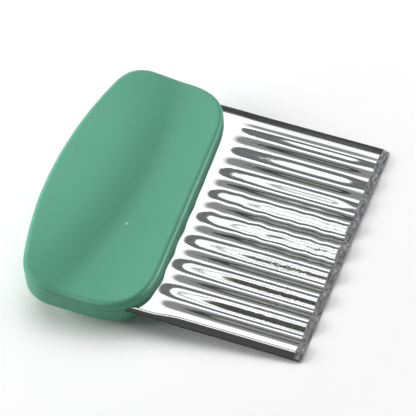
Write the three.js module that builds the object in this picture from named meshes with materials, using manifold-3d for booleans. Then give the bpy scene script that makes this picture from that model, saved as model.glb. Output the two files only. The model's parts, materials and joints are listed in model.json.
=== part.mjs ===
// Crinkle cutter: a corrugated steel blade clamped between two hollow moulded handle halves.
// Millimetres. The parts are laid out flat, with x = 0 at the front of the handle, +X towards the
// cutting edge, +Y along the handle to its far end and z = 0 in the middle of the blade sheet. The
// finished tool is then tipped on to its cutting edge, as it lies on a table.
import * as THREE from 'three';
import { mergeVertices } from 'three/addons/utils/BufferGeometryUtils.js';
import Module from 'manifold-3d';

const wasm = await Module();
wasm.setup();

// Blade
const BLADE_WIDTH = 76;
const BLADE_REACH = 47.4;
const SHEET = 0.7;
const TANG_DEPTH = 17;
const FLUTE_PITCH = 8.5;
const FLUTE_SPREAD = 0.079;
const FLUTE_OFFSET = 0.546;
const LAST_CREST = 4.5;
const FLUTE_AMPLITUDE = 0.53;
const FAR_SHARE = 0.8;
const FAR_SHALLOW = 15;
const FAR_FULL = 26;
const EDGE_SHARE = 0.12;
const EDGE_SHALLOW = 3.2;
const EDGE_FULL = 7;
const NEAR_LEAN = 0.25;
const FLUTE_START = 0.5;
const FLUTE_RUN = 7.5;
const BLADE_CROWN = 0.7;
const BLADE_LEVEL = 0.73;
const MARGIN = 2;
const MARGIN_BEND = 0.2;
const FAR_TURN = 0.3;
const NEAR_TURN = 0.46;
const BEVEL = 2;
const EDGE_THICKNESS = 0.1;

// Handle outline, seen from above
const HANDLE_LENGTH = 81.7;
const HANDLE_DEPTH = 41.4;
const FRONT_BULGE = 0.25;
const END_BULGE = 0.1;
const BACK_BULGE = 7.2;
const FRONT_SETBACK = 16;
const BACK_SETBACK = 7.8;
const TAPER = 0.051;
const TAPER_X = -26;

// Handle section
const LOWER_HEIGHT = 7.1;
const LOWER_RIM = 3.4;
const UPPER_RIM = 1.6;
const CREASE_HEIGHT = 3.4;
const CREASE_X = -11.8;
const CREASE_Y = 7.6;
const CREASE_CURVE = 0.0046;
const FRONT_RISE = 0.9;
const FRONT_RUN = 11;
const SWELL_RISE = 2;
const SWELL_RUN = 10;
const SWELL_LOSS = 0.1;
const END_FALL = 0.95;
const WALL = 1.8;
const LEAST_RADIUS = 0.6;

// Fit between the pieces
const GAP = 0.3;
const SEAM = GAP / 2;
const POCKET = SHEET / 2 + GAP;
const POCKET_FRONT = 2.5;
const POST_RADIUS = 2;
const BOSS_RADIUS = 3.8;
const POST_TOP = 1.9;
const SOCKET_TOP = POST_TOP + GAP;
const RIB = 1.4;
const TANG_POSTS = [[-11, -25], [-11, 0], [-11, 25]];
const BACK_POSTS = [[-30, -17], [-30, 17]];
const POSTS = [...TANG_POSTS, ...BACK_POSTS];

// Mesh resolution
const BLADE_COLUMNS = 120;
const FLUTE_STEPS = 5;
const OUTLINE_POINTS = 64;
const RIM_STEPS = 4;
const FACE_RINGS = [0.85, 0.7, 0.55, 0.4, 0.2];
const ROUND_SIDES = 16;

const CENTRE_X = -HANDLE_DEPTH / 2;

const steel = new THREE.MeshStandardMaterial({ color: 0xb9bcbd, roughness: 0.22, metalness: 1 });
const jade = new THREE.MeshStandardMaterial({ color: 0x66a98e, roughness: 0.55, metalness: 0 });

const { lerp, smoothstep } = THREE.MathUtils;

function toSolid(geometry) {
  const bare = geometry.clone();
  bare.deleteAttribute('normal');
  bare.deleteAttribute('uv');
  const merged = mergeVertices(bare, 1e-4);
  const vertProperties = new Float32Array(merged.attributes.position.array);
  const triVerts = new Uint32Array(merged.index.array);
  return new wasm.Manifold(new wasm.Mesh({ numProp: 3, vertProperties, triVerts }));
}

function toGeometry(solid) {
  const mesh = solid.getMesh();
  const indexed = new THREE.BufferGeometry();
  indexed.setAttribute('position', new THREE.BufferAttribute(mesh.vertProperties, 3));
  indexed.setIndex(new THREE.BufferAttribute(mesh.triVerts, 1));
  const faceted = indexed.toNonIndexed();
  faceted.computeVertexNormals();
  return faceted;
}

// An upright round pin between two heights
function pin(radius, [x, y], bottom, top) {
  const geometry = new THREE.CylinderGeometry(radius, radius, top - bottom, ROUND_SIDES);
  geometry.rotateX(Math.PI / 2);
  geometry.translate(x, y, (bottom + top) / 2);
  return toSolid(geometry);
}

// A box between two corners
function block(low, high) {
  const [dx, dy, dz] = high.map((value, axis) => value - low[axis]);
  const geometry = new THREE.BoxGeometry(dx, dy, dz);
  geometry.translate(low[0] + dx / 2, low[1] + dy / 2, low[2] + dz / 2);
  return toSolid(geometry);
}

// Height that the press gives the middle of the sheet: flutes that are wider and deeper towards the
// near edge and stop there on a crest, a crown over the far half, and a strip turned down along each
// long edge. The whole sheet leans a little, so that both sides of the cutting edge reach the table.
function pressedHeight(y) {
  const across = y / BLADE_WIDTH;
  const fromFar = BLADE_WIDTH / 2 - y;
  const turns = FLUTE_OFFSET - (y / FLUTE_PITCH) * (1 + FLUTE_SPREAD * across);
  const far = lerp(FAR_SHARE, 1, smoothstep(fromFar, FAR_SHALLOW, FAR_FULL));
  const edge = lerp(EDGE_SHARE, 1, smoothstep(fromFar, EDGE_SHALLOW, EDGE_FULL));
  const near = 1 + NEAR_LEAN * Math.max(-2 * across, 0);
  const wave = -FLUTE_AMPLITUDE * far * edge * near * Math.cos(2 * Math.PI * Math.min(turns, LAST_CREST));
  const crown = BLADE_CROWN * (0.25 - 4 * Math.max(across, 0) ** 2);
  const strip = Math.max(MARGIN - BLADE_WIDTH / 2 + Math.abs(y), 0);
  const turn = ((y > 0 ? FAR_TURN : NEAR_TURN) * strip ** 2) / (strip + MARGIN_BEND);
  return wave + crown - turn + BLADE_LEVEL * across;
}

function sheetMiddle(x, y) {
  return smoothstep(x, FLUTE_START, FLUTE_START + FLUTE_RUN) * pressedHeight(y);
}

// Half of the sheet's thickness measured upright, so that the flanks stay as thick as the crests
function halfSheet(x, y) {
  const step = 0.01;
  const slope = (sheetMiddle(x, y + step) - sheetMiddle(x, y - step)) / (2 * step);
  return (SHEET / 2) * Math.hypot(1, slope);
}

function bladeSheet() {
  const fluteStep = (_, step) => FLUTE_START + (step / FLUTE_STEPS) * FLUTE_RUN;
  const fade = Array.from({ length: FLUTE_STEPS + 1 }, fluteStep);
  const stations = [-TANG_DEPTH, ...fade, BLADE_REACH - BEVEL, BLADE_REACH];
  const columns = BLADE_COLUMNS + 1;
  const position = [];
  for (const side of [1, -1]) {
    for (const x of stations) {
      for (let column = 0; column < columns; column += 1) {
        const y = BLADE_WIDTH * (column / BLADE_COLUMNS - 0.5);
        const half = halfSheet(x, y);
        const sharpened = x === BLADE_REACH && side > 0;
        const offset = sharpened ? EDGE_THICKNESS - half : side * half;
        position.push(x, y, sheetMiddle(x, y) + offset);
      }
    }
  }
  const layer = stations.length * columns;
  const index = [];
  const quad = (a, b, c, d) => index.push(a, b, c, a, c, d);
  for (let row = 0; row < stations.length - 1; row += 1) {
    for (let column = 0; column < columns - 1; column += 1) {
      const a = row * columns + column;
      const b = a + columns;
      quad(a, b, b + 1, a + 1);
      quad(layer + a, layer + a + 1, layer + b + 1, layer + b);
    }
    const near = row * columns;
    const far = near + columns - 1;
    quad(near, layer + near, layer + near + columns, near + columns);
    quad(far, far + columns, layer + far + columns, layer + far);
  }
  const edge = layer - columns;
  for (let column = 0; column < columns - 1; column += 1) {
    quad(column, column + 1, layer + column + 1, layer + column);
    const a = edge + column;
    quad(a, layer + a, layer + a + 1, a + 1);
  }
  const geometry = new THREE.BufferGeometry();
  geometry.setAttribute('position', new THREE.Float32BufferAttribute(position, 3));
  geometry.setIndex(index);
  return toSolid(geometry);
}

function bladeGeometry() {
  let solid = bladeSheet();
  for (const place of TANG_POSTS) {
    solid = solid.subtract(pin(POST_RADIUS + GAP, place, -SHEET, SHEET));
  }
  return toGeometry(solid);
}

// Outline of the handle: four bulged sides, each a parabola between two virtual corners, joined by
// curves that run along the sides' own directions.
function handleOutline() {
  const half = HANDLE_LENGTH / 2 - END_BULGE;
  const back = BACK_BULGE - HANDLE_DEPTH;
  const corners = [[0, -half], [0, half], [back, half], [back, -half]];
  const bulges = [FRONT_BULGE, END_BULGE, BACK_BULGE, END_BULGE];
  const setbacks = [FRONT_SETBACK, FRONT_SETBACK, BACK_SETBACK, BACK_SETBACK];
  const sides = corners.map((corner, i) => {
    const next = (i + 1) % corners.length;
    const from = new THREE.Vector2(...corner);
    const along = new THREE.Vector2(...corners[next]).sub(from);
    const outward = new THREE.Vector2(along.y, -along.x).normalize();
    const end = (share) => ({
      point: from.clone().addScaledVector(along, share)
        .addScaledVector(outward, 4 * share * (1 - share) * bulges[i]),
      heading: along.clone().addScaledVector(outward, 4 * (1 - 2 * share) * bulges[i]),
    });
    return [end(setbacks[i] / along.length()), end(1 - setbacks[next] / along.length())];
  });
  const path = new THREE.Path();
  path.moveTo(sides[0][0].point.x, sides[0][0].point.y);
  const curveTo = (from, to) => {
    const reach = to.point.clone().sub(from.point);
    const run = reach.cross(to.heading) / from.heading.cross(to.heading);
    const control = from.point.clone().addScaledVector(from.heading, run);
    path.quadraticCurveTo(control.x, control.y, to.point.x, to.point.y);
  };
  sides.forEach(([start, end], i) => {
    curveTo(start, end);
    curveTo(end, sides[(i + 1) % sides.length][0]);
  });
  return path;
}

const OUTLINE = handleOutline();

// The outline drawn in by a distance, as points. The handle is deeper at its near end.
function outlineRing(inset) {
  return Array.from({ length: OUTLINE_POINTS }, (_, i) => {
    const share = i / OUTLINE_POINTS;
    const point = OUTLINE.getPointAt(share);
    const heading = OUTLINE.getTangentAt(share);
    const x = point.x - heading.y * inset;
    const y = point.y + heading.x * inset;
    return [TAPER_X + (x - TAPER_X) * (1 - (TAPER * 2 * y) / HANDLE_LENGTH), y];
  });
}

// Upper face: a palm swell along the back, a crease, and a front land that rises to the rim
function upperFace(x, y) {
  const fromCrease = x - CREASE_X + CREASE_CURVE * (y - CREASE_Y) ** 2;
  const across = (2 * y) / HANDLE_LENGTH;
  const land = FRONT_RISE * smoothstep(fromCrease, 0, FRONT_RUN);
  const swell = SWELL_RISE * smoothstep(-fromCrease, 0, SWELL_RUN) * (1 - SWELL_LOSS * across ** 2);
  return CREASE_HEIGHT + land + swell - END_FALL * across ** 2;
}

const lowerFace = () => -LOWER_HEIGHT;

// One half of the handle as a solid form: flat at the seam, an upright wall, a rounded rim and a
// shaped face. thinner draws it in on every side but the seam, for the hollow inside.
function halfForm(face, rim, seam, thinner) {
  const up = Math.sign(seam);
  const radius = Math.max(rim - thinner, LEAST_RADIUS);
  const faceHeight = (x, y) => face(x, y) - up * thinner;
  const rings = [outlineRing(thinner).map(([x, y]) => [x, y, seam])];
  for (let step = 0; step <= RIM_STEPS; step += 1) {
    const angle = (step / RIM_STEPS) * (Math.PI / 2);
    const drop = radius * (1 - Math.sin(angle));
    const inset = thinner + radius * (1 - Math.cos(angle));
    rings.push(outlineRing(inset).map(([x, y]) => [x, y, faceHeight(x, y) - up * drop]));
  }
  const rimRing = rings[rings.length - 1];
  const toCentre = (share) => rimRing.map(([px, py]) => {
    const x = CENTRE_X + (px - CENTRE_X) * share;
    const y = py * share;
    return [x, y, faceHeight(x, y)];
  });
  if (face !== lowerFace) {
    rings.push(...FACE_RINGS.map(toCentre));
  }
  const position = rings.flat(2);
  const top = position.length / 3;
  position.push(CENTRE_X, 0, faceHeight(CENTRE_X, 0), CENTRE_X, 0, seam);
  const index = [];
  const triangle = (a, b, c) => index.push(...(up > 0 ? [a, b, c] : [a, c, b]));
  for (let i = 0; i < OUTLINE_POINTS; i += 1) {
    const next = (i + 1) % OUTLINE_POINTS;
    for (let ring = 0; ring < rings.length - 1; ring += 1) {
      const low = ring * OUTLINE_POINTS;
      const high = low + OUTLINE_POINTS;
      triangle(low + i, low + next, high + next);
      triangle(low + i, high + next, high + i);
    }
    const last = (rings.length - 1) * OUTLINE_POINTS;
    triangle(last + i, last + next, top);
    triangle(next, i, top + 1);
  }
  const geometry = new THREE.BufferGeometry();
  geometry.setAttribute('position', new THREE.Float32BufferAttribute(position, 3));
  geometry.setIndex(index);
  return toSolid(geometry);
}

// Stiffening ribs inside a half: one along the tang posts and one from front to back at each post
function ribs(bottom, top) {
  const [first] = TANG_POSTS;
  const length = HANDLE_LENGTH;
  let solid = block([first[0] - RIB / 2, -length / 2, bottom], [first[0] + RIB / 2, length / 2, top]);
  for (const [, y] of POSTS) {
    solid = solid.add(block([-HANDLE_DEPTH, y - RIB / 2, bottom], [0, y + RIB / 2, top]));
  }
  return solid;
}

// Room for the blade's sheet between the two halves, open at the front
function bladePocket() {
  const half = BLADE_WIDTH / 2 + GAP;
  return block([-TANG_DEPTH - GAP, -half, -POCKET], [POCKET_FRONT, half, POCKET]);
}

function lowerShell() {
  const form = halfForm(lowerFace, LOWER_RIM, -SEAM, 0);
  const core = halfForm(lowerFace, LOWER_RIM, -SEAM, WALL / 2);
  const hollow = halfForm(lowerFace, LOWER_RIM, -SEAM, WALL);
  const inside = -LOWER_HEIGHT + WALL / 2;
  let stiffening = ribs(-LOWER_HEIGHT, -POCKET);
  for (const place of POSTS) {
    stiffening = stiffening.add(pin(BOSS_RADIUS, place, -LOWER_HEIGHT, -POCKET));
  }
  let solid = form.subtract(hollow).add(stiffening.intersect(core)).subtract(bladePocket());
  for (const place of POSTS) {
    solid = solid.add(pin(POST_RADIUS, place, inside, POST_TOP));
  }
  return toGeometry(solid);
}

function upperShell() {
  const form = halfForm(upperFace, UPPER_RIM, SEAM, 0);
  const core = halfForm(upperFace, UPPER_RIM, SEAM, WALL / 2);
  const hollow = halfForm(upperFace, UPPER_RIM, SEAM, WALL);
  const above = CREASE_HEIGHT + SWELL_RISE;
  let stiffening = ribs(POCKET, above);
  for (const place of POSTS) {
    stiffening = stiffening.add(pin(BOSS_RADIUS, place, POCKET, above));
  }
  let solid = form.subtract(hollow).add(stiffening.intersect(core)).subtract(bladePocket());
  for (const place of POSTS) {
    solid = solid.subtract(pin(POST_RADIUS + GAP, place, -SOCKET_TOP, SOCKET_TOP));
  }
  return toGeometry(solid);
}

function piece(name, geometry, material) {
  const mesh = new THREE.Mesh(geometry, material);
  mesh.name = name;
  return mesh;
}

const flat = new THREE.Group();
flat.add(piece('blade', bladeGeometry(), steel));
flat.add(piece('handle_lower_shell', lowerShell(), jade.clone()));
flat.add(piece('handle_upper_shell', upperShell(), jade));

// The tool lies on the lowest flutes of its cutting edge and on the lower front rim of its handle: the
// table passes through the edge and touches the rim's round where it stands out most.
const edgeHeight = (_, column) => {
  const y = BLADE_WIDTH * (column / BLADE_COLUMNS - 0.5);
  return sheetMiddle(BLADE_REACH, y) - halfSheet(BLADE_REACH, y);
};
const lowest = Math.min(...Array.from({ length: BLADE_COLUMNS + 1 }, edgeHeight));
const tip = new THREE.Vector2(BLADE_REACH, lowest);
const foremost = Math.max(...outlineRing(LOWER_RIM).map(([x]) => x));
const rimCentre = new THREE.Vector2(foremost, LOWER_RIM - LOWER_HEIGHT);
const tipFromRim = tip.clone().sub(rimCentre);
const REST_TILT = tipFromRim.angle() + Math.asin(LOWER_RIM / tipFromRim.length());
flat.rotation.y = REST_TILT;

// Origin under the middle of the tool, on the table
const cutter = new THREE.Group();
cutter.add(flat);
cutter.updateMatrixWorld(true);
const box = new THREE.Box3().setFromObject(cutter, true);
flat.position.set(-(box.min.x + box.max.x) / 2, -(box.min.y + box.max.y) / 2, -box.min.z);

export default cutter;
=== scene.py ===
"""Crinkle cutter: a corrugated steel blade held between two moulded handle halves, on a white table.

Lengths are in metres. The pieces are laid out flat, as they are made: x = 0 at the front of the handle,
+X towards the cutting edge, +Y along the handle, z = 0 in the middle of the blade's sheet. rest_matrix()
then tips them on to the cutting edge, as the tool lies on a table.
"""
import json
import math

import bpy
import numpy as np
from bpy.props import FloatProperty, FloatVectorProperty, PointerProperty
from mathutils import Matrix, Vector


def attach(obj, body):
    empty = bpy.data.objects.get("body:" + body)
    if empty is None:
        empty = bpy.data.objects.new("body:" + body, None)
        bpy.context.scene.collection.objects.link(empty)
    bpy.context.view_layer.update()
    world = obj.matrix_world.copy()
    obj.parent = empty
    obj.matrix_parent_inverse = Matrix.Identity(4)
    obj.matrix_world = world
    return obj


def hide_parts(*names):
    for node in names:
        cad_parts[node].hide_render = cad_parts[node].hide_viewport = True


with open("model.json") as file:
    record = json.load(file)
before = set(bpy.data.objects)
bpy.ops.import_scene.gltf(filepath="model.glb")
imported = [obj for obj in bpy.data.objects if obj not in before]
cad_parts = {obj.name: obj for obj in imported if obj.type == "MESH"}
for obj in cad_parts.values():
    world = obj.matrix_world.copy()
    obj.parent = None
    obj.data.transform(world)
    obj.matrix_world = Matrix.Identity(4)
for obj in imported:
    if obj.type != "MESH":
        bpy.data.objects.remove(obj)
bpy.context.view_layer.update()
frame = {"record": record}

bl_info = {
    "name": "Crinkle Cutter",
    "version": (1, 0, 0),
    "blender": (4, 5, 0),
    "location": "View3D > Sidebar > Cutter",
    "description": "Builds a crinkle cutter with a corrugated blade and a moulded handle",
    "category": "Object",
}

MM = 0.001


def length(label, millimetres, text):
    """A property that holds a length, given here in millimetres."""
    return FloatProperty(name=label, description=text, default=millimetres * MM, precision=5, unit="LENGTH")


def share(label, value, text):
    """A property that holds a ratio or a slope."""
    return FloatProperty(name=label, description=text, default=value, precision=3, subtype="FACTOR")


def angle(label, degrees, text):
    """A property that holds an angle, given here in degrees."""
    return FloatProperty(name=label, description=text, default=math.radians(degrees), subtype="ANGLE")


def linear(code):
    """Scene-linear red, green and blue of an sRGB hex colour."""
    parts = [int(code[i:i + 2], 16) / 255 for i in (1, 3, 5)]
    return [p / 12.92 if p <= 0.04045 else ((p + 0.055) / 1.055) ** 2.4 for p in parts]


def colour(label, code, text):
    """A property that holds a colour, given here as an sRGB hex code."""
    return FloatVectorProperty(name=label, description=text, default=linear(code), size=3, min=0, max=1,
                               subtype="COLOR")


class CutterBlade(bpy.types.PropertyGroup):
    """Sizes and colours of the blade"""
    width: length("Width", 76, "Width of the sheet along the handle")
    reach: length("Reach", 46.9, "From the front of the handle to the cutting edge")
    tang: length("Tang", 17, "Depth of sheet inside the handle")
    sheet: length("Sheet", 0.7, "Thickness of the steel")
    pitch: length("Pitch", 8.5, "Distance from flute to flute in the middle of the sheet")
    spread: share("Spread", 0.079, "How much wider the flutes get towards the near edge")
    offset: share("Offset", 0.546, "Part of a flute by which the pattern is moved along the sheet")
    amplitude: length("Amplitude", 0.53, "Half the height of a flute in the middle of the sheet")
    shallow: share("Shallow", 0.8, "Height of the far flutes, as a part of the middle ones")
    lean: share("Lean", 0.18, "How much deeper the flutes get from the middle to the near edge")
    growth: share("Growth", 0.73, "Part of their height that the flutes have next to the handle")
    flute_start: length("Flute start", 0.5, "Where the flutes begin, from the front of the handle")
    flute_run: length("Flute run", 7.5, "Length over which the flutes rise")
    wander: share("Wander", 0.03, "How far the middle flutes stray from straight, as a part of the pitch")
    slackening: share("Slackening", 0.33, "Part of the far flutes' height that is lost at the cutting edge")
    crown: length("Crown", 0.7, "Rise of the middle of the fluted sheet over its far edge")
    level: length("Level", 0.8, "Lean of the sheet, which brings both sides of the edge down to the table")
    far_margin: length("Far margin", 2.9, "Width of the turned-down strip along the far edge")
    near_margin: length("Near margin", 2, "Width of the turned-down strip along the near edge")
    near_start: length("Near start", 1.2, "Width of that strip next to the handle")
    far_turn: share("Far turn", 0.285, "Slope of the strip along the far edge")
    near_turn: share("Near turn", 0.46, "Slope of the strip along the near edge")
    turn_start: length("Turn start", -11, "Where the strips begin to turn down, from the front of the handle")
    far_run: length("Far run", 3, "Length over which the far strip does so")
    near_run: length("Near run", 9, "Length over which the near strip does so")
    bevel: length("Bevel", 2, "Width of the ground cutting bevel")
    edge: length("Edge", 0.1, "Thickness left at the cutting edge")
    corner: length("Corner", 1.0, "Radius of the two corners of the cutting edge")
    hole_radius: length("Hole radius", 2.3, "Radius of the holes for the handle's posts")
    hole_x: length("Hole position", -11, "Where the holes are, from the front of the handle")
    hole_spacing: length("Hole spacing", 25, "Distance from hole to hole")
    steel: colour("Steel", "#D2D3D4", "Colour of the bright rolled steel")
    ground: colour("Ground steel", "#8C8C8E", "Colour of the ground bevel")
    # Painted shade: the sheared sides are rough steel, and this near-black colour stands in for the shadowed
    # table they mirror
    sheared_shaded: colour("Sheared shaded steel", "#3A3A3B", "Colour of the sheared sides")


class CutterHandle(bpy.types.PropertyGroup):
    """Sizes and colours of the handle"""
    length: length("Length", 81.7, "Length across the blade")
    depth: length("Depth", 41.4, "From the front to the back, half way along")
    front_bulge: length("Front bulge", 0.25, "Bow of the front side")
    end_bulge: length("End bulge", 0.1, "Bow of the two short ends")
    back_bulge: length("Back bulge", 7.2, "Bow of the back")
    front_setback: length("Front setback", 16, "How far the front corners are cut back")
    back_setback: length("Back setback", 7.8, "How far the back corners are cut back")
    taper: share("Taper", 0.051, "How much deeper than half way along the handle is at its near end")
    taper_x: length("Taper line", -26, "The line along the handle from which the taper spreads")
    lower_height: length("Lower height", 7.1, "Depth of the lower half")
    lower_rim: length("Lower rim", 3.4, "Radius of the lower half's rim")
    upper_rim: length("Upper rim", 1.6, "Radius of the upper half's rim")
    crease_height: length("Crease height", 3.6, "Height of the upper face along its crease")
    crease_x: length("Crease position", -16.8, "Where the swell's steepest line comes nearest the front")
    crease_y: length("Crease turn", 7.6, "Where along the handle it does so")
    crease_curve: FloatProperty(name="Crease curve", description="Bend of the crease, per metre", default=4.6)
    front_rise: length("Front rise", 0.5, "Rise of the face from the crease to the front rim")
    front_run: length("Front run", 13, "Length of that rise")
    swell_slope: share("Swell slope", 0.25, "Slope of the palm swell at its steepest line")
    swell_foot: length("Swell foot", 5, "From the steepest line forward to the crease")
    swell_crown: length("Swell crown", 11, "From the steepest line back to the top of the swell")
    swell_fan: share("Swell fan", 0.5, "How much further these spread towards the two ends")
    back_fall: FloatProperty(name="Back fall", description="Bend of the face behind its top, per metre",
                             default=2)
    end_fall: length("End fall", 1.15, "Drop of the face towards its two ends")
    wall: length("Wall", 1.8, "Thickness of the moulded wall")
    lip: length("Lip", 0.25, "Rounding of each half along the seam")
    seam: length("Seam", 0.04, "Half of the gap between the two halves")
    slot: length("Slot", 0.06, "Clearance around the blade where it enters the handle")
    post: length("Post", 2, "Radius of the posts that join the halves")
    boss: length("Boss", 3.8, "Radius of the bosses round the posts")
    rib: length("Rib", 1.4, "Thickness of the stiffening ribs")
    gate: FloatVectorProperty(name="Gate", description="Where the plastic was fed in", size=2, unit="LENGTH",
                              default=(-13.8 * MM, -13.3 * MM))
    gate_radius: length("Gate radius", 0.55, "Radius of the mark that the feed left")
    gate_height: length("Gate height", 0.3, "Height of that mark")
    plastic: colour("Plastic", "#4A9C7E", "Colour of the moulded plastic")
    # Painted highlight: a pale dot on the gate's mark, standing in for the glint it catches
    gate_highlight: colour("Painted gate highlight", "#C9DCD2", "Colour of the plastic where the feed was torn off")


class CutterStage(bpy.types.PropertyGroup):
    """Camera and table"""
    lens: FloatProperty(name="Lens", description="Focal length on a 36 mm sensor, in mm", default=225)
    distance: length("Distance", 737.8, "From the aim point to the camera")
    elevation: angle("Elevation", 50.753, "Height of the camera above the table")
    azimuth: angle("Azimuth", -57.415, "Direction of the camera round the tool")
    roll: angle("Roll", -14.533, "Turn of the camera about its view axis")
    aim: FloatVectorProperty(name="Aim", description="Point in the middle of the picture", size=3,
                             unit="LENGTH", default=(1.803 * MM, 1.856 * MM, 6 * MM))
    floor: colour("Table", "#FEFEFE", "Colour of the table")


def node(tree, kind, feeds=None, **settings):
    """Adds a node with its settings, and feeds its inputs with values or with other nodes' sockets. An input
    is told by its name or its number: those of Map Range are 0 the value, 1 and 2 the range it comes from,
    3 and 4 the range it goes to."""
    made = tree.nodes.new(kind)
    for name, value in settings.items():
        setattr(made, name, value)
    for key, value in (feeds or {}).items():
        if isinstance(value, bpy.types.NodeSocket):
            tree.links.new(value, made.inputs[key])
        else:
            made.inputs[key].default_value = value
    return made


def new_material(name):
    """A material with an empty node tree, and that tree."""
    material = bpy.data.materials.new(name)
    material.use_nodes = True
    material.node_tree.nodes.clear()
    return material, material.node_tree


def rest_matrix(handle):
    """From the flat layout to the tool at rest: the handle's underside goes where the record's mount is."""
    mount = frame["record"]["mounts"][0]
    tilt = math.atan2(-mount["axis"][0], -mount["axis"][2])
    underside = Vector((-handle.depth / 2, 0, -handle.lower_height))
    return Matrix.Translation(mount["pos_m"]) @ Matrix.Rotation(tilt, 4, "Y") @ Matrix.Translation(-underside)


def add_object(name, data):
    """A new object with this mesh, lamp or camera, at the origin."""
    made = bpy.data.objects.new(name, data)
    bpy.context.scene.collection.objects.link(made)
    return made


def evaluated_mesh(name, made):
    """The mesh an object's modifiers give, as plain data. The object itself goes."""
    graph = bpy.context.evaluated_depsgraph_get()
    mesh = bpy.data.meshes.new_from_object(made.evaluated_get(graph))
    mesh.name = name
    bpy.data.objects.remove(made)
    return mesh


# Blade

def rolled_steel(blade, tilt):
    """Bright cold-rolled stainless sheet: a near mirror, drawn into faint streaks along the flutes, with a
    few scuffed patches that break its reflections up into specks."""
    material, tree = new_material("Rolled stainless steel")
    place = node(tree, "ShaderNodeTexCoord").outputs["Object"]
    flat = node(tree, "ShaderNodeMapping", {"Vector": place, "Rotation": (0, -tilt, 0)}).outputs[0]
    # Rolling lines are finer than the picture shows, so they are drawn half a millimetre wide
    drawn = node(tree, "ShaderNodeMapping", {
        "Vector": flat, "Scale": (1 / (25 * MM), 1 / (0.5 * MM), 0)}).outputs[0]
    streaks = node(tree, "ShaderNodeTexNoise", {"Vector": drawn, "Scale": 1, "Detail": 3}).outputs[0]
    shade = node(tree, "ShaderNodeMapRange", {"Value": streaks, 1: 0.25, 2: 0.75, 3: 0.8, 4: 1.0}).outputs[0]
    tint = node(tree, "ShaderNodeVectorMath", {
        0: tuple(blade.steel), "Scale": shade}, operation="SCALE").outputs[0]
    rough = node(tree, "ShaderNodeMapRange", {"Value": streaks, 3: 0.05, 4: 0.13}).outputs[0]
    specks = node(tree, "ShaderNodeTexNoise", {
        "Vector": flat, "Scale": 1 / (1.1 * MM), "Detail": 2}).outputs[0]
    broad = node(tree, "ShaderNodeTexNoise", {"Vector": flat, "Scale": 1 / (22 * MM), "Detail": 1}).outputs[0]
    scuffed = node(tree, "ShaderNodeMapRange", {"Value": broad, 1: 0.6, 2: 0.7}).outputs[0]
    dents = node(tree, "ShaderNodeMath", {0: specks, 1: scuffed}, operation="MULTIPLY").outputs[0]
    lines = node(tree, "ShaderNodeBump", {"Height": streaks, "Distance": 0.006 * MM}).outputs[0]
    bump = node(tree, "ShaderNodeBump", {
        "Height": dents, "Strength": 0.25, "Distance": 0.1 * MM, "Normal": lines}).outputs[0]
    shader = node(tree, "ShaderNodeBsdfPrincipled", {
        "Base Color": tint, "Metallic": 1, "Roughness": rough, "Normal": bump})
    node(tree, "ShaderNodeOutputMaterial", {"Surface": shader.outputs[0]})
    return material


def dull_steel(name, steel, tilt):
    """Steel that a wheel has ground or a shear has torn: rough, so it scatters light, and mottled grey."""
    material, tree = new_material(name)
    place = node(tree, "ShaderNodeTexCoord").outputs["Object"]
    flat = node(tree, "ShaderNodeMapping", {"Vector": place, "Rotation": (0, -tilt, 0)})
    # The scratches are finer than the picture shows, so they are drawn six to the millimetre
    scratches = node(tree, "ShaderNodeMapping", {
        "Vector": flat.outputs[0], "Scale": (0.2 / MM, 6 / MM, 0.2 / MM)})
    fine = node(tree, "ShaderNodeTexNoise", {"Vector": scratches.outputs[0], "Scale": 1, "Detail": 2})
    rough = node(tree, "ShaderNodeMapRange", {"Value": fine.outputs[0], 3: 0.42, 4: 0.6})
    facets = node(tree, "ShaderNodeMapping", {
        "Vector": flat.outputs[0], "Scale": (1 / (0.7 * MM), 1 / (1.6 * MM), 0)})
    uneven = node(tree, "ShaderNodeTexNoise", {"Vector": facets.outputs[0], "Scale": 1, "Detail": 3})
    tone = node(tree, "ShaderNodeMapRange", {"Value": uneven.outputs[0], 1: 0.32, 2: 0.68, 3: 0.35, 4: 1.5})
    tint = node(tree, "ShaderNodeVectorMath", {0: tuple(steel), "Scale": tone.outputs[0]}, operation="SCALE")
    shader = node(tree, "ShaderNodeBsdfPrincipled", {
        "Base Color": tint.outputs[0], "Metallic": 1, "Roughness": rough.outputs[0]})
    node(tree, "ShaderNodeOutputMaterial", {"Surface": shader.outputs[0]})
    return material


BLADE_SIZES = [name for name in CutterBlade.__annotations__ if name not in ("steel", "ground", "sheared_shaded")]

# Fixed places and shares on the sheet. A place is counted from the front of the handle or from a long edge
BLADE_PLACES = {
    # Flutes near unsteady_y stray from straight, by noise that is spread about zero
    "unsteady_y": 2 * MM, "unsteady_from": 3 * MM, "unsteady_to": 13 * MM, "stray_span": 4, "stray_low": -2,
    # The flutes end at this crest, and grow in height over this stretch
    "last_crest": 4.5, "growth_start": 6 * MM, "growth_end": 24 * MM,
    # The far flutes are shallow, and hardly rise at all next to the far edge
    "shallow_to": 15 * MM, "deep_from": 26 * MM,
    "flat_to": 4.2 * MM, "fluted_from": 6.9 * MM, "flat_share": 0.06,
    # From here on the flutes get deeper towards the near edge
    "lean_from": 43 * MM,
    # At the far end of the cutting edge the flutes slacken
    "slack_start": 37 * MM, "slack_end": 44 * MM, "taut_from": 32 * MM, "slack_to": 22 * MM,
    # The near strip widens here, the strips bend softly, and the crown is lifted by a share of its height
    "widening_start": 2 * MM, "widening_end": 12 * MM, "bend_softness": 0.2 * MM, "crown_lift": 0.25,
}

# Steel edges that bend more than this stay sharp, and a blade with fewer faces has failed
STEEL_CREASE = math.radians(35)
LEAST_FACES = 1000


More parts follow.
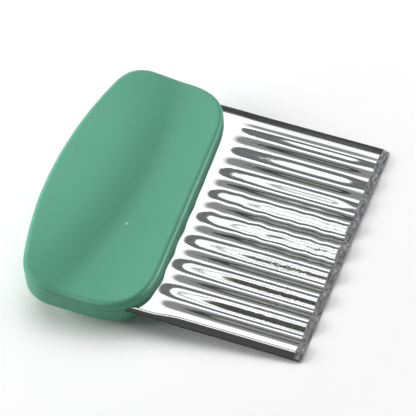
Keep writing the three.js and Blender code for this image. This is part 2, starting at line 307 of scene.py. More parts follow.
def blade_tree():
    """Node group for the blade: a sheet pressed into flutes that fade in, ground to a bevel and punched."""
    tree = bpy.data.node_groups.new("Corrugated blade", "GeometryNodeTree")
    for name in BLADE_SIZES:
        tree.interface.new_socket(name, in_out="INPUT", socket_type="NodeSocketFloat")
    for name in ("rolled_steel", "ground_steel", "sheared_shaded_steel"):
        tree.interface.new_socket(name, in_out="INPUT", socket_type="NodeSocketMaterial")
    tree.interface.new_socket("Geometry", in_out="OUTPUT", socket_type="NodeSocketGeometry")
    found = {**BLADE_PLACES, **dict(node(tree, "NodeGroupInput").outputs.items())}

    # A slab of unit size, with 0 and 1 in z marking its two sides
    rows, bevel_rows, columns = 110, 5, 420
    grid = node(tree, "GeometryNodeMeshGrid", {
        "Size X": 1, "Size Y": 1, "Vertices X": rows + 1, "Vertices Y": columns + 1}).outputs[0]
    raised = node(tree, "GeometryNodeExtrudeMesh", {"Mesh": grid, "Offset": (0, 0, 1), "Individual": False})
    under = node(tree, "GeometryNodeFlipFaces", {"Mesh": grid}).outputs[0]
    joined = node(tree, "GeometryNodeJoinGeometry")
    tree.links.new(raised.outputs[0], joined.inputs[0])
    tree.links.new(under, joined.inputs[0])
    slab = node(tree, "GeometryNodeMergeByDistance", {
        "Geometry": joined.outputs[0], "Distance": 1e-5}).outputs[0]
    position = node(tree, "GeometryNodeInputPosition").outputs[0]
    spot = node(tree, "ShaderNodeSeparateXYZ", {0: position}).outputs
    found.update(along=spot[0], across=spot[1], side=spot[2])

    # Unsteadiness of the press, which slowly moves the flutes about
    waves = (18, 4, 0)
    stretched = node(tree, "ShaderNodeVectorMath", {0: position, 1: waves}, operation="MULTIPLY").outputs[0]
    found["stray"] = node(tree, "ShaderNodeTexNoise", {
        "Vector": stretched, "Scale": 1, "Detail": 0}).outputs[0]

    # Each step names its result, a rule, and what goes in: earlier results, inputs of the group or numbers
    bevel_turn = 0.5 - bevel_rows / rows
    steps = (
        # Places along and across the sheet, with the corners of the cutting edge rounded
        ("bevel_start", "SUBTRACT", "reach", "bevel"),
        ("tang_end", "MULTIPLY", "tang", -1),
        ("body_x", "LINEAR", "along", -0.5, bevel_turn, "tang_end", "bevel_start"),
        ("ground", "LINEAR", "along", bevel_turn, 0.5, 0, 1),
        ("y", "MULTIPLY", "across", "width"),
        ("half_width", "MULTIPLY", "width", 0.5),
        ("from_far", "SUBTRACT", "half_width", "y"),
        ("from_near", "ADD", "half_width", "y"),
        ("inward", "MINIMUM", "from_far", "from_near"),
        ("into_corner", "LINEAR", "inward", "corner", 0, 0, 1),
        ("corner_square", "MULTIPLY", "into_corner", "into_corner"),
        ("corner_rest", "SUBTRACT", 1, "corner_square"),
        ("corner_root", "SQRT", "corner_rest"),
        ("corner_arc", "SUBTRACT", 1, "corner_root"),
        ("corner_cut", "MULTIPLY", "corner_arc", "corner"),
        ("ground_length", "SUBTRACT", "bevel", "corner_cut"),
        ("x", "MULTIPLY_ADD", "ground", "ground_length", "body_x"),
        # Phase of the flutes, which stops at the crest next to the near edge
        ("drift", "MULTIPLY_ADD", "across", "spread", 1),
        ("flutes", "DIVIDE", "y", "pitch"),
        ("flutes_on", "MULTIPLY", "flutes", "drift"),
        ("straight", "SUBTRACT", "offset", "flutes_on"),
        ("off_middle", "SUBTRACT", "y", "unsteady_y"),
        ("off_middle_size", "ABSOLUTE", "off_middle"),
        ("unsteady", "SMOOTHSTEP", "off_middle_size", "unsteady_from", "unsteady_to", "wander", 0),
        ("stray_centred", "MULTIPLY_ADD", "stray", "stray_span", "stray_low"),
        ("strayed", "MULTIPLY_ADD", "stray_centred", "unsteady", "straight"),
        ("turns", "MINIMUM", "strayed", "last_crest"),
        ("phase", "MULTIPLY", "turns", 2 * math.pi),
        # Height of the flutes along and across the sheet
        ("fade_end", "ADD", "flute_start", "flute_run"),
        ("fade", "SMOOTHSTEP", "x", "flute_start", "fade_end", 0, 1),
        ("grown", "SMOOTHSTEP", "x", "growth_start", "growth_end", "growth", 1),
        ("far_part", "SMOOTHSTEP", "from_far", "shallow_to", "deep_from", "shallow", 1),
        ("edge_part", "SMOOTHSTEP", "from_far", "flat_to", "fluted_from", "flat_share", 1),
        ("deepest", "ADD", 1, "lean"),
        ("near_part", "LINEAR", "from_near", "lean_from", 0, 1, "deepest"),
        ("far_end", "SMOOTHSTEP", "x", "slack_start", "slack_end", 0, "slackening"),
        ("far_end_part", "SMOOTHSTEP", "from_far", "taut_from", "slack_to", 0, "far_end"),
        ("left_over", "SUBTRACT", "grown", "far_end_part"),
        ("tall_x", "MULTIPLY", "amplitude", "left_over"),
        ("tall_far", "MULTIPLY", "far_part", "edge_part"),
        ("tall_y", "MULTIPLY", "tall_far", "near_part"),
        ("tall", "MULTIPLY", "tall_x", "tall_y"),
        ("cosine", "COSINE", "phase"),
        ("wave", "MULTIPLY", "tall", "cosine"),
        # Crown over the far half, and the turned-down strips
        ("far_share", "MAXIMUM", "across", 0),
        ("far_square", "MULTIPLY", "far_share", "far_share"),
        ("crown_part", "MULTIPLY_ADD", "far_square", -4, "crown_lift"),
        ("leaning", "MULTIPLY", "across", "level"),
        ("bow", "MULTIPLY_ADD", "crown", "crown_part", "leaning"),
        ("near_width", "SMOOTHSTEP", "x", "widening_start", "widening_end", "near_start", "near_margin"),
        ("margin", "LINEAR", "across", -0.5, 0.5, "near_width", "far_margin"),
        ("into_margin", "SUBTRACT", "margin", "inward"),
        ("margin_depth", "MAXIMUM", "into_margin", 0),
        ("margin_square", "MULTIPLY", "margin_depth", "margin_depth"),
        ("margin_soft", "ADD", "margin_depth", "bend_softness"),
        ("margin_bend", "DIVIDE", "margin_square", "margin_soft"),
        ("turn_slope", "LINEAR", "across", -0.5, 0.5, "near_turn", "far_turn"),
        ("turned", "MULTIPLY", "margin_bend", "turn_slope"),
        ("turn_run", "LINEAR", "across", -0.5, 0.5, "near_run", "far_run"),
        ("turn_end", "ADD", "turn_start", "turn_run"),
        ("turn_fade", "SMOOTHSTEP", "x", "turn_start", "turn_end", 0, 1),
        ("turned_on", "MULTIPLY", "turned", "turn_fade"),
        ("bow_waved", "SUBTRACT", "bow", "wave"),
        ("pressed", "MULTIPLY", "fade", "bow_waved"),
        ("middle", "SUBTRACT", "pressed", "turned_on"),
        # Upright half thickness on the slopes, and the upper side ground down to the cutting edge
        ("rate", "DIVIDE", 2 * math.pi, "pitch"),
        ("steepest", "MULTIPLY", "tall", "rate"),
        ("sine", "SINE", "phase"),
        ("steep", "MULTIPLY", "steepest", "sine"),
        ("slope", "MULTIPLY", "steep", "fade"),
        ("slope_square", "MULTIPLY_ADD", "slope", "slope", 1),
        ("slant", "SQRT", "slope_square"),
        ("upright", "MULTIPLY", "sheet", "slant"),
        ("half_upright", "MULTIPLY", "upright", 0.5),
        ("bottom", "SUBTRACT", "middle", "half_upright"),
        ("taken", "SUBTRACT", "upright", "edge"),
        ("ground_off", "MULTIPLY", "ground", "taken"),
        ("thick", "SUBTRACT", "upright", "ground_off"),
        ("z", "MULTIPLY_ADD", "side", "thick", "bottom"),
        # Places and depth of the holes
        ("first_hole", "MULTIPLY", "hole_spacing", -1),
        ("drill_depth", "MULTIPLY", "sheet", 3),
    )
    for result, rule, *operands in steps:
        feeds = {slot: found.get(value, value) for slot, value in enumerate(operands)}
        if rule in ("LINEAR", "SMOOTHSTEP"):
            made = node(tree, "ShaderNodeMapRange", feeds, interpolation_type=rule)
        else:
            made = node(tree, "ShaderNodeMath", feeds, operation=rule)
        found[result] = made.outputs[0]
    place = node(tree, "ShaderNodeCombineXYZ", {0: found["x"], 1: found["y"], 2: found["z"]}).outputs[0]
    pressed = node(tree, "GeometryNodeSetPosition", {"Geometry": slab, "Position": place}).outputs[0]

    # Holes for the handle's posts
    first = node(tree, "ShaderNodeCombineXYZ", {0: found["hole_x"], 1: found["first_hole"]}).outputs[0]
    step = node(tree, "ShaderNodeCombineXYZ", {1: found["hole_spacing"]}).outputs[0]
    places = node(tree, "GeometryNodeMeshLine", {
        "Count": 3, "Start Location": first, "Offset": step}).outputs[0]
    drill = node(tree, "GeometryNodeMeshCylinder", {
        "Vertices": 48, "Radius": found["hole_radius"], "Depth": found["drill_depth"]}).outputs[0]
    drills = node(tree, "GeometryNodeInstanceOnPoints", {"Points": places, "Instance": drill}).outputs[0]
    tools = node(tree, "GeometryNodeRealizeInstances", {"Geometry": drills}).outputs[0]
    punched = node(tree, "GeometryNodeMeshBoolean", {"Mesh 1": pressed, "Mesh 2": tools},
                   operation="DIFFERENCE", solver="MANIFOLD").outputs[0]

    # Materials: bright all over but for the upper face of the bevel and the sheared sides, which are told by
    # their normals
    upward_least, sideways_least = 0.3, 0.6
    plain = node(tree, "GeometryNodeRealizeInstances", {"Geometry": punched}).outputs[0]
    bright = node(tree, "GeometryNodeSetMaterial", {
        "Geometry": plain, "Material": found["rolled_steel"]}).outputs[0]
    normal = node(tree, "GeometryNodeInputNormal").outputs[0]
    placed = node(tree, "ShaderNodeSeparateXYZ", {0: position}).outputs
    facing = node(tree, "ShaderNodeSeparateXYZ", {0: normal}).outputs
    ahead = node(tree, "ShaderNodeMath", {
        0: placed[0], 1: found["bevel_start"]}, operation="GREATER_THAN").outputs[0]
    upward = node(tree, "ShaderNodeMath", {
        0: facing[2], 1: upward_least}, operation="GREATER_THAN").outputs[0]
    on_bevel = node(tree, "ShaderNodeMath", {0: ahead, 1: upward}, operation="MULTIPLY").outputs[0]
    # Painted shade goes on the sheared sides: near-black steel standing in for the shadowed table they mirror
    sideways = node(tree, "ShaderNodeMath", {0: facing[1]}, operation="ABSOLUTE").outputs[0]
    sheared_shaded = node(tree, "ShaderNodeMath", {
        0: sideways, 1: sideways_least}, operation="GREATER_THAN").outputs[0]
    bevelled = node(tree, "GeometryNodeSetMaterial", {
        "Geometry": bright, "Selection": on_bevel, "Material": found["ground_steel"]}).outputs[0]
    done = node(tree, "GeometryNodeSetMaterial", {
        "Geometry": bevelled, "Selection": sheared_shaded, "Material": found["sheared_shaded_steel"]}).outputs[0]
    node(tree, "NodeGroupOutput", {0: done})
    return tree


class CUTTER_OT_blade(bpy.types.Operator):
    """Press, grind and punch the corrugated blade"""
    bl_idname = "cutter.blade"
    bl_label = "Blade"

    def execute(self, context):
        blade, handle = context.scene.cutter_blade, context.scene.cutter_handle
        place = rest_matrix(handle)
        tilt = place.to_euler().y
        made = add_object("Blade sheet", bpy.data.meshes.new("Blade sheet"))
        modifier = made.modifiers.new("Corrugated blade", "NODES")
        modifier.node_group = blade_tree()
        values = {name: getattr(blade, name) for name in BLADE_SIZES}
        values["rolled_steel"] = rolled_steel(blade, tilt)
        values["ground_steel"] = dull_steel("Ground stainless steel", blade.ground, tilt)
        values["sheared_shaded_steel"] = dull_steel("Sheared shaded stainless steel", blade.sheared_shaded, tilt)
        for socket in modifier.node_group.interface.items_tree:
            if socket.in_out == "INPUT":
                modifier[socket.identifier] = values[socket.name]
        mesh = evaluated_mesh("Blade", made)
        if len(mesh.polygons) < LEAST_FACES:
            raise RuntimeError("The blade came out empty")
        mesh.shade_smooth()
        mesh.set_sharp_from_angle(angle=STEEL_CREASE)
        mesh.transform(place)
        piece = add_object("corrugated_blade", mesh)
        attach(piece, "root")
        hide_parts("blade")
        return {"FINISHED"}


# Handle

# Inner sizes of the halves that the picture doesn't show, and the shares that shape the gate's mark
TANG_POSTS_X, BACK_POSTS_X = -11 * MM, -30 * MM
POSTS = [(TANG_POSTS_X, -25 * MM), (TANG_POSTS_X, 0), (TANG_POSTS_X, 25 * MM),
         (BACK_POSTS_X, -17 * MM), (BACK_POSTS_X, 17 * MM)]
POST_TOP, POST_ROOT = 1.9 * MM, 0.9 * MM
SOCKET_TOP, SOCKET_GAP = 2.2 * MM, 0.2 * MM
TANG_GAP, SLOT_FRONT = 0.3 * MM, 2.5 * MM
LEAST_RIM = 0.6 * MM
# WHITE_START and WHITE_END, as shares of the gate's radius, spread the painted highlight on its mark
GATE_TOP, WHITE_START, WHITE_END = 0.6, 0.6, 1.1

# Plastic edges that bend more than this stay sharp
PLASTIC_CREASE = math.radians(40)


def moulded_plastic(handle):
    """Injection-moulded polypropylene: dense colour under a soft waxy sheen, with a faintly uneven skin, and
    a pale dot painted on the gate's mark as the highlight it catches."""
    material, tree = new_material("Moulded polypropylene")
    place = node(tree, "ShaderNodeTexCoord").outputs["Object"]
    # The mould's grain is finer than the picture shows, so it is drawn about a millimetre wide
    grain = node(tree, "ShaderNodeTexNoise", {"Vector": place, "Scale": 0.9 / MM, "Detail": 3})
    broad = node(tree, "ShaderNodeTexNoise", {"Vector": place, "Scale": 0.045 / MM, "Detail": 2})
    tone = node(tree, "ShaderNodeMapRange", {"Value": broad.outputs[0], 3: 0.97, 4: 1.03})
    tint = node(tree, "ShaderNodeVectorMath", {
        0: tuple(handle.plastic), "Scale": tone.outputs[0]}, operation="SCALE")
    rough = node(tree, "ShaderNodeMapRange", {"Value": grain.outputs[0], 3: 0.42, 4: 0.5})
    bump = node(tree, "ShaderNodeBump", {"Height": grain.outputs[0], "Strength": 0.08, "Distance": 0.05 * MM})
    x, y = handle.gate
    gate = rest_matrix(handle) @ Vector((x, y, float(upper_face(handle, x, y))))
    off_gate = node(tree, "ShaderNodeVectorMath", {0: place, 1: gate}, operation="DISTANCE").outputs["Value"]
    # Painted highlight: the skin turns pale on the gate's mark, standing in for the glint it catches
    torn = node(tree, "ShaderNodeMapRange", {
        0: off_gate, 1: handle.gate_radius * WHITE_END, 2: handle.gate_radius * WHITE_START})
    skin = node(tree, "ShaderNodeMix", {
        "Factor": torn.outputs[0], 6: tint.outputs[0], 7: (*handle.gate_highlight, 1)}, data_type="RGBA")
    shader = node(tree, "ShaderNodeBsdfPrincipled", {
        "Base Color": skin.outputs[2], "Roughness": rough.outputs[0], "Normal": bump.outputs[0], "IOR": 1.49,
        "Subsurface Weight": 0.15, "Subsurface Radius": (0.4, 1.0, 0.8), "Subsurface Scale": 0.6 * MM})
    node(tree, "ShaderNodeOutputMaterial", {"Surface": shader.outputs[0]})
    return material


def handle_outline(handle, count):
    """Points evenly round the handle seen from above, and their outward directions. Four bulged sides, each a
    parabola between two virtual corners, are joined by curves that run along the sides' own directions."""
    half = handle.length / 2 - handle.end_bulge
    back = handle.back_bulge - handle.depth
    corners = np.array([[0, -half], [0, half], [back, half], [back, -half]])
    bulges = [handle.front_bulge, handle.end_bulge, handle.back_bulge, handle.end_bulge]
    setbacks = [handle.front_setback, handle.front_setback, handle.back_setback, handle.back_setback]
    ends = []
    for i, start in enumerate(corners):
        along = corners[(i + 1) % 4] - start
        span = np.hypot(*along)
        outward = np.array([along[1], -along[0]]) / span
        for part in (setbacks[i] / span, 1 - setbacks[(i + 1) % 4] / span):
            point = start + along * part + outward * 4 * part * (1 - part) * bulges[i]
            ends.append((point, along + outward * 4 * (1 - 2 * part) * bulges[i]))
    dense = []
    curve_steps = 200
    t = np.linspace(0, 1, curve_steps, endpoint=False)[:, None]
    for (point, heading), (target, onward) in zip(ends, ends[1:] + ends[:1]):
        reach = target - point
        turn = heading[0] * onward[1] - heading[1] * onward[0]
        run = (reach[0] * onward[1] - reach[1] * onward[0]) / turn
        control = point + heading * run
        dense.append((1 - t) ** 2 * point + 2 * t * (1 - t) * control + t * t * target)
    dense = np.concatenate(dense)
    closed = np.vstack([dense, dense[:1]])
    travelled = np.concatenate([[0], np.cumsum(np.hypot(*np.diff(closed, axis=0).T))])
    marks = np.linspace(0, travelled[-1], count, endpoint=False)
    points = np.stack([np.interp(marks, travelled, closed[:, axis]) for axis in (0, 1)], axis=1)
    heading = np.roll(points, -1, axis=0) - np.roll(points, 1, axis=0)
    heading /= np.hypot(*heading.T)[:, None]
    return points, np.stack([heading[:, 1], -heading[:, 0]], axis=1)


def upper_face(handle, x, y):
    """Height of the upper face: a palm swell along the back, a crease, and a land rising to the front rim."""
    ahead = x - handle.crease_x + handle.crease_curve * (y - handle.crease_y) ** 2
    across = 2 * y / handle.length
    fan = 1 + handle.swell_fan * across ** 2
    foot, crown = handle.swell_foot * fan, handle.swell_crown * fan
    down, up = np.clip(ahead, 0, foot), np.clip(-ahead, 0, crown)
    swell = handle.swell_slope / fan * (foot / 2 - down + down ** 2 / (2 * foot) + up - up ** 2 / (2 * crown))
    land = handle.front_rise * (np.maximum(ahead - foot, 0) / handle.front_run) ** 2
    fall = handle.back_fall * np.maximum(-ahead - crown, 0) ** 2 + handle.end_fall * across ** 2
    return handle.crease_height + land + swell - fall


def tapered(handle, ring):
    """A ring round the handle, made deeper towards the near end."""
    depth = 1 - handle.taper * 2 * ring[:, 1] / handle.length
    return np.column_stack([handle.taper_x + (ring[:, 0] - handle.taper_x) * depth, ring[:, 1]])


def half_form(handle, upper, thinner=0.0, lip=0.0):
    """One half of the handle as a closed form: flat at the seam, an upright wall, a rounded rim and its face.
    thinner draws it in on every side but the seam, for the hollow inside."""
    count, lip_steps, rim_steps, face_rings = 320, 4, 14, 60
    points, outward = handle_outline(handle, count)
    up = 1 if upper else -1
    radius = max((handle.upper_rim if upper else handle.lower_rim) - thinner, LEAST_RIM)

    def face(ring):
        if upper:
            return upper_face(handle, ring[:, 0], ring[:, 1]) - thinner
        return np.full(count, thinner - handle.lower_height)

    rings = []
    for step in range(lip_steps + 1 if lip else 1):
        bend = step / lip_steps * math.pi / 2
        ring = tapered(handle, points - outward * (thinner + lip * (1 - math.sin(bend))))
        rings.append(np.column_stack([ring, np.full(count, up * (handle.seam + lip * (1 - math.cos(bend))))]))
    for step in range(rim_steps + 1):
        bend = step / rim_steps * math.pi / 2
        ring = tapered(handle, points - outward * (thinner + radius * (1 - math.cos(bend))))
        rings.append(np.column_stack([ring, face(ring) - up * radius * (1 - math.sin(bend))]))
    rim = rings[-1]
    centre = np.array([-handle.depth / 2, 0])
    for part in np.linspace(1, 0, face_rings, endpoint=False)[1:]:
        ring = centre + (rim[:, :2] - centre) * part
        rings.append(np.column_stack([ring, face(ring)]))
    vertices = np.concatenate(rings)
    around = np.arange(count)
    onward = (around + 1) % count
    faces = []
    for low in range(0, (len(rings) - 1) * count, count):
        high = low + count
        faces.extend(np.column_stack([low + around, low + onward, high + onward, high + around]).tolist())
    faces.append(around[::-1].tolist())
    faces.append((len(vertices) - count + around).tolist())
    if not upper:
        faces = [turned[::-1] for turned in faces]
    mesh = bpy.data.meshes.new("Form")
    mesh.from_pydata(vertices.tolist(), [], faces)
    return mesh


def box_mesh(low, high):
    """A block between two corners."""
    corners = [(x, y, z) for z in (low[2], high[2]) for y in (low[1], high[1]) for x in (low[0], high[0])]
    sides = [(0, 2, 3, 1), (4, 5, 7, 6), (0, 1, 5, 4), (2, 6, 7, 3), (0, 4, 6, 2), (1, 3, 7, 5)]
    mesh = bpy.data.meshes.new("Block")
    mesh.from_pydata(corners, [], sides)
    return mesh


def pin_mesh(radius, x, y, low, high, top_share=1.0):
    """An upright pin, whose top can be narrower than its foot."""
    count = 48
    turn = np.linspace(0, 2 * math.pi, count, endpoint=False)
    circle = np.column_stack([np.cos(turn), np.sin(turn)])
    vertices = np.concatenate([np.column_stack([circle * radius * part + (x, y), np.full(count, z)])
                               for part, z in ((1, low), (top_share, high))])
    sides = [(i, (i + 1) % count, count + (i + 1) % count, count + i) for i in range(count)]
    ends = [tuple(range(count - 1, -1, -1)), tuple(range(count, 2 * count))]
    mesh = bpy.data.meshes.new("Pin")
    mesh.from_pydata(vertices.tolist(), [], sides + ends)
    return mesh


def combine(name, base, *steps):
    """The base mesh after a run of boolean steps, each an operation and a mesh."""
    made = add_object(name, base)
    tools = []
    for operation, mesh in steps:
        tool = add_object("Tool", mesh)
        tools.append(tool)
        modifier = made.modifiers.new(operation.title(), "BOOLEAN")
        modifier.operation, modifier.object, modifier.solver = operation, tool, "MANIFOLD"
    mesh = evaluated_mesh(name, made)
    for tool in tools:
        bpy.data.objects.remove(tool)
    if not mesh.polygons:
        raise RuntimeError(name + " came out empty")
    return mesh


def stiffening(handle, upper, pocket):
    """Ribs and bosses inside a half, cut off in the middle of its wall."""
    if upper:
        low, high = pocket, handle.crease_height + 2 * handle.upper_rim
    else:
        low, high = -handle.lower_height, -pocket
    steps = []
    for x, y in POSTS:
        rib = box_mesh((-handle.depth, y - handle.rib / 2, low), (0, y + handle.rib / 2, high))
        steps.append(("UNION", rib))
        steps.append(("UNION", pin_mesh(handle.boss, x, y, low, high)))
    steps.append(("INTERSECT", half_form(handle, upper, handle.wall / 2)))
    long_rib = box_mesh((TANG_POSTS_X - handle.rib / 2, -handle.length / 2, low),
                        (TANG_POSTS_X + handle.rib / 2, handle.length / 2, high))
    return combine("Stiffening", long_rib, *steps)


def handle_half(name, handle, blade, upper):
    """One half of the handle: hollow and ribbed, with room for the blade, and posts or sockets for them."""
    pocket = blade.sheet / 2 + handle.slot
    reach = blade.width / 2 + handle.slot
    room = box_mesh((-blade.tang - TANG_GAP, -reach, -pocket), (SLOT_FRONT, reach, pocket))
    steps = [("DIFFERENCE", half_form(handle, upper, handle.wall)),
             ("UNION", stiffening(handle, upper, pocket)),
             ("DIFFERENCE", room)]
    if not upper:
        # Deeper room for the turned-down strips at the two ends of the slot
        inner = reach - blade.far_margin - 2 * handle.slot
        floor = -pocket - blade.near_margin * blade.near_turn
        for near, far in ((-reach, -inner), (inner, reach)):
            steps.append(("DIFFERENCE", box_mesh((blade.turn_start, near, floor), (SLOT_FRONT, far, 0))))
    else:
        x, y = handle.gate
        skin, rise = float(upper_face(handle, x, y)), handle.gate_height
        steps.append(("UNION", pin_mesh(handle.gate_radius, x, y, skin - rise, skin + rise, GATE_TOP)))
    for x, y in POSTS:
        if upper:
            steps.append(("DIFFERENCE", pin_mesh(handle.post + SOCKET_GAP, x, y, -SOCKET_TOP, SOCKET_TOP)))
        else:
            steps.append(("UNION", pin_mesh(handle.post, x, y, POST_ROOT - handle.lower_height, POST_TOP)))
    mesh = combine(name, half_form(handle, upper, 0.0, handle.lip), *steps)
    mesh.shade_smooth()
    mesh.set_sharp_from_angle(angle=PLASTIC_CREASE)
    mesh.transform(rest_matrix(handle))
    return add_object(name, mesh)


class CUTTER_OT_handle(bpy.types.Operator):
    """Mould the two halves of the handle"""
    bl_idname = "cutter.handle"
    bl_label = "Handle halves"

    def execute(self, context):
        handle, blade = context.scene.cutter_handle, context.scene.cutter_blade
        plastic = moulded_plastic(handle)
        for name, node_name, upper in (("lower_half", "handle_lower_shell", False),
                                       ("upper_half", "handle_upper_shell", True)):
            piece = handle_half(name, handle, blade, upper)
            piece.data.materials.clear()
            piece.data.materials.append(plastic)
            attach(piece, "root")
            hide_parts(node_name)
        return {"FINISHED"}


# Stage

# Red, green and blue of the cards, which glow at CARD_STRENGTH times these
CARD_STRENGTH = 2
WHITE, GLARE, DIM = (1.05, 1.05, 1.05), (1.5, 1.5, 1.5), (0.2, 0.2, 0.2)
BRIGHT, BLAZE = (4.2, 4.2, 4.2), (8.5, 8.5, 8.5)
BAR, GREY, BROWN = (0.12, 0.125, 0.128), (0.21, 0.21, 0.203), (0.05, 0.045, 0.032)
DARK, SLATE, PITCH = (0.1, 0.1, 0.095), (0.05, 0.05, 0.048), (0.04, 0.041, 0.039)

# Each card has a name, two opposite corners, the axis along which its brightness changes, and its brightness
# at places along that axis
CARDS = (
    ("Overhead panel", (-0.5, -0.25, 0.8), (0.1, 1.4, 0.8), 1, (
        (-0.25, SLATE), (-0.214, SLATE), (-0.209, BROWN), (-0.164, BROWN), (-0.156, WHITE), (-0.09, WHITE),
        (-0.084, BAR), (-0.058, BAR), (-0.052, WHITE), (0.077, WHITE), (0.092, BAR), (0.384, BAR),
        (0.398, WHITE), (0.605, WHITE), (0.922, GREY), (1.4, GREY))),
    ("Left panel", (-1.5, -0.25, 0.8), (-0.5, 1.4, 0.8), 0, ((-1.5, GLARE), (-0.5, GLARE))),
    ("Right panel", (0.1, -0.25, 0.8), (1.5, 1.4, 0.8), 0, ((0.1, DIM), (1.5, DIM))),
    ("Back wall", (-3, 1.4, 0), (3, 1.4, 0.8), 2, (
        (0.0, WHITE), (0.284, WHITE), (0.354, GREY), (0.47, GREY), (0.49, PITCH), (0.66, PITCH), (0.68, GREY),
        (0.8, GREY))),
    ("Front panel", (-3, -0.25, 0.8), (0, -2, 0.8), 1, (
        (-2, DARK), (-1.35, DARK), (-1.25, BRIGHT), (-0.75, BRIGHT), (-0.65, SLATE), (-0.25, SLATE))),
    ("Front right panel", (0, -0.25, 0.8), (3, -2, 0.8), 1, ((-2, DARK), (-0.6, DARK), (-0.25, SLATE))),
    ("Side panel", (1.3, 0.1, 0), (1.3, 1.4, 0.4), 2, ((0, BLAZE), (0.4, BLAZE))),
)

# Each lamp has a name, its part of the light on the table, its size, and its bearing and rise in degrees
LAMPS = (
    ("Left light", 0.31, (1.0, 0.6), 187, 22),
    ("Upper left light", 0.46, (1.7, 1.2), 127, 54),
    ("Back light", 0.31, (1.5, 1.3), 55, 60),
)
LAMP_DISTANCE = 1.8
ROOM_LIGHT = 0.04

# A painted glow whitens the table beyond the tool and its shadow, where it fades into the white room
FADE_START, FADE_END, FADE_LEAST = 0.06, 0.35, 0.02
TABLE_REACH = 4


def panel_glow(name, axis, stops):
    """A lit card whose brightness runs along one axis, in metres, from dark bars to white panels."""
    material, tree = new_material(name)
    place = node(tree, "ShaderNodeTexCoord").outputs["Object"]
    spot = node(tree, "ShaderNodeSeparateXYZ", {0: place}).outputs[axis]
    low, high = stops[0][0], stops[-1][0]
    along = node(tree, "ShaderNodeMapRange", {0: spot, 1: low, 2: high}).outputs[0]
    ramp = node(tree, "ShaderNodeValToRGB", {0: along})
    bar = ramp.color_ramp.elements
    for position, shade in stops[1:-1]:
        bar.new((position - low) / (high - low)).color = (*shade, 1)
    bar[0].color, bar[-1].color = (*stops[0][1], 1), (*stops[-1][1], 1)
    light = node(tree, "ShaderNodeEmission", {"Color": ramp.outputs[0], "Strength": CARD_STRENGTH})
    node(tree, "ShaderNodeOutputMaterial", {"Surface": light.outputs[0]})
    return material


def card(name, first, last, axis, stops):
    """A flat card between two opposite corners, which shows in reflections and nowhere else."""
    (x, y, z), (x_end, y_end, z_end) = first, last
    if x == x_end:
        corners = [(x, y, z), (x, y_end, z), (x, y_end, z_end), (x, y, z_end)]
    else:
        corners = [(x, y, z), (x_end, y, z), (x_end, y_end, z_end), (x, y_end, z_end)]
    mesh = bpy.data.meshes.new(name)
    mesh.from_pydata(corners, [], [(0, 1, 2, 3)])
    mesh.materials.append(panel_glow(name, axis, stops))
    made = add_object(name, mesh)
    made.visible_camera = made.visible_diffuse = made.visible_shadow = False


def direction(bearing, rise):
    """The way from the tool to something at this bearing round it and this height over the table."""
    return Vector((math.cos(rise) * math.cos(bearing), math.cos(rise) * math.sin(bearing), math.sin(rise)))


def softbox(name, table_share, size, bearing, rise):
    """A soft lamp aimed at the tool, strong enough to light a white table to the given part of white."""
    toward = direction(bearing, rise)
    light = bpy.data.lights.new(name, "AREA")
    light.shape, light.energy = "RECTANGLE", table_share * (math.pi * LAMP_DISTANCE) ** 2 / math.sin(rise)
    light.size, light.size_y = size
    made = add_object(name, light)
    made.location = toward * LAMP_DISTANCE
    made.rotation_euler = toward.to_track_quat("Z", "Y").to_euler()
    made.visible_camera = made.visible_glossy = False


def seen_directly(tree):
    """1 where the camera, a reflection or clear material looks at a surface, 0 where it lights something."""
    seen = node(tree, "ShaderNodeLightPath").outputs
    looked = node(tree, "ShaderNodeMath", {
        0: seen["Is Camera Ray"], 1: seen["Is Glossy Ray"]}, operation="MAXIMUM")
    return node(tree, "ShaderNodeMath", {
        0: looked.outputs[0], 1: seen["Is Transmission Ray"]}, operation="MAXIMUM").outputs[0]


def white_laminate(stage):
    """White laminated board, matt, with a painted glow: faint by the tool, so its shadow stays, full further
    off.
    """
    material, tree = new_material("White laminate")
    place = node(tree, "ShaderNodeTexCoord").outputs["Object"]
    off = node(tree, "ShaderNodeVectorMath", {0: place}, operation="LENGTH").outputs["Value"]
    fade = node(tree, "ShaderNodeMapRange", {
        0: off, 1: FADE_START, 2: FADE_END, 3: FADE_LEAST, 4: 1}, interpolation_type="SMOOTHSTEP").outputs[0]
    lift = node(tree, "ShaderNodeMath", {0: seen_directly(tree), 1: fade}, operation="MULTIPLY").outputs[0]
    matt = node(tree, "ShaderNodeBsdfDiffuse", {"Color": (*stage.floor, 1)})
    light = node(tree, "ShaderNodeEmission", {"Color": (1, 1, 1, 1), "Strength": lift})
    both = node(tree, "ShaderNodeAddShader", {0: matt.outputs[0], 1: light.outputs[0]})
    node(tree, "ShaderNodeOutputMaterial", {"Surface": both.outputs[0]})
    return material


def white_room():
    """A world that looks white and lights the tool only a little."""
    world = bpy.data.worlds.new("Studio")
    world.use_nodes = True
    tree = world.node_tree
    tree.nodes.clear()
    level = node(tree, "ShaderNodeMapRange", {0: seen_directly(tree), 3: ROOM_LIGHT, 4: 1.0}).outputs[0]
    sky = node(tree, "ShaderNodeBackground", {"Color": (1, 1, 1, 1), "Strength": level})
    node(tree, "ShaderNodeOutputWorld", {"Surface": sky.outputs[0]})
    return world


def photo_camera(stage):
    """The camera, on its bearing round the tool and turned about its own axis."""
    toward = direction(stage.azimuth, stage.elevation)
    level = Vector((0, 0, 1)).cross(toward).normalized()
    rise = toward.cross(level)
    right = level * math.cos(stage.roll) + rise * math.sin(stage.roll)
    up = toward.cross(right)
    lens = bpy.data.cameras.new("Camera")
    lens.lens, lens.sensor_width, lens.clip_end = stage.lens, 36, 20
    camera = add_object("Camera", lens)
    turn = Matrix((right, up, toward)).transposed().to_4x4()
    camera.matrix_world = Matrix.Translation(Vector(stage.aim) + toward * stage.distance) @ turn
    return camera


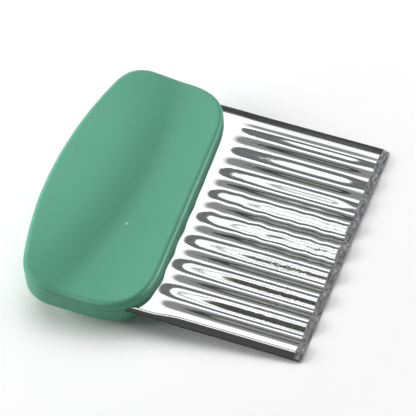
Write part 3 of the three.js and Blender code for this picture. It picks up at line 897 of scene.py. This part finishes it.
class CUTTER_OT_stage(bpy.types.Operator):
    """Set the table, the light and the camera"""
    bl_idname = "cutter.stage"
    bl_label = "Stage"

    def execute(self, context):
        stage = context.scene.cutter_stage
        mesh = bpy.data.meshes.new("Table")
        corners = [(x * TABLE_REACH, y * TABLE_REACH, 0) for x, y in ((-1, -1), (1, -1), (1, 1), (-1, 1))]
        mesh.from_pydata(corners, [], [(0, 1, 2, 3)])
        mesh.materials.append(white_laminate(stage))
        add_object("Table", mesh)
        context.scene.world = white_room()
        for name, table_share, size, bearing, rise in LAMPS:
            softbox(name, table_share, size, math.radians(bearing), math.radians(rise))
        for row in CARDS:
            card(*row)
        context.scene.camera = photo_camera(stage)
        context.scene.view_settings.view_transform = "Standard"
        return {"FINISHED"}


class CUTTER_PT_panel(bpy.types.Panel):
    """Builds the crinkle cutter step by step"""
    bl_idname = "CUTTER_PT_panel"
    bl_label = "Crinkle Cutter"
    bl_space_type = "VIEW_3D"
    bl_region_type = "UI"
    bl_category = "Cutter"

    def draw(self, context):
        for step in (CUTTER_OT_stage, CUTTER_OT_blade, CUTTER_OT_handle):
            self.layout.operator(step.bl_idname)
        for group in (context.scene.cutter_blade, context.scene.cutter_handle, context.scene.cutter_stage):
            column = self.layout.column()
            for name in group.__annotations__:
                column.prop(group, name)


CLASSES = (CutterBlade, CutterHandle, CutterStage, CUTTER_OT_stage, CUTTER_OT_blade, CUTTER_OT_handle,
           CUTTER_PT_panel)


def register():
    for kind in CLASSES:
        bpy.utils.register_class(kind)
    bpy.types.Scene.cutter_blade = PointerProperty(type=CutterBlade, name="Blade",
                                                   description="Sizes and colours of the blade")
    bpy.types.Scene.cutter_handle = PointerProperty(type=CutterHandle, name="Handle",
                                                    description="Sizes and colours of the handle")
    bpy.types.Scene.cutter_stage = PointerProperty(type=CutterStage, name="Stage",
                                                   description="Camera and table")


def unregister():
    del bpy.types.Scene.cutter_stage
    del bpy.types.Scene.cutter_handle
    del bpy.types.Scene.cutter_blade
    for kind in reversed(CLASSES):
        bpy.utils.unregister_class(kind)


def main():
    register()
    bpy.ops.cutter.stage()
    bpy.ops.cutter.blade()
    bpy.ops.cutter.handle()


if __name__ == "__main__":
    main()
